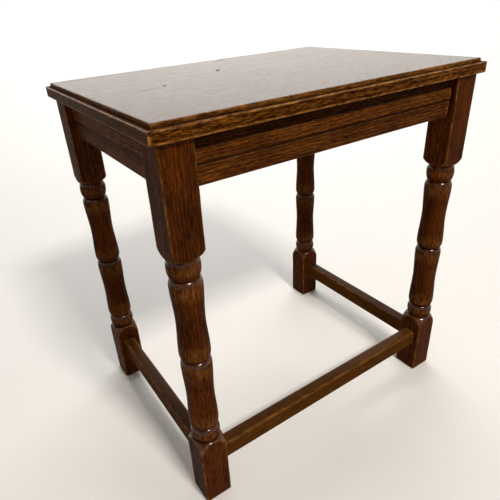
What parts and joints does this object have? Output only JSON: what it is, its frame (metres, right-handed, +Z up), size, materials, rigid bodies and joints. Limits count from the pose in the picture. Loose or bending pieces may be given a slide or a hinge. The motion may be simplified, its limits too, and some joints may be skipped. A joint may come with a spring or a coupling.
{
  "type": "nesting table",
  "caption": "Outer table of a nest in dark oak: moulded-edge top, square-and-turned legs, moulded rails and floor stretchers, open on one long side.",
  "frame": {"origin": "middle of the footprint, on the floor under the feet", "axes": "+X along the top, +Y across it towards the open side where the smaller tables slide in, +Z up"},
  "size_m": [0.446, 0.324, 0.48],
  "materials": {
    "top_oak": "glossy varnish over dark-stained oak, grain along X",
    "leg_oak": "satin varnish over dark-stained oak, grain along Z",
    "rail_oak": "satin varnish over dark-stained oak, grain along the rail",
    "stretcher_oak": "satin varnish over dark-stained oak, grain along the stretcher",
    "block_wood": "sawn, unfinished",
    "dowel_wood": "sanded, unfinished",
    "screw_brass": "dull"
  },
  "bodies": {
    "root": {"top_board_closed_side": "top_oak", "top_board_middle": "top_oak", "top_board_open_side": "top_oak", "leg_closed_left": "leg_oak", "leg_closed_right": "leg_oak", "leg_open_left": "leg_oak", "leg_open_right": "leg_oak", "rail_closed_side": "rail_oak", "rail_left": "rail_oak", "rail_right": "rail_oak", "rail_open_side": "rail_oak", "stretcher_closed_side": "stretcher_oak", "stretcher_left": "stretcher_oak", "stretcher_right": "stretcher_oak", "corner_block_closed_left": "block_wood", "corner_block_closed_right": "block_wood", "corner_block_open_left": "block_wood", "corner_block_open_right": "block_wood", "rail_dowels": "dowel_wood", "stretcher_dowels": "dowel_wood", "top_screws": "screw_brass"}
  },
  "joints": []
}
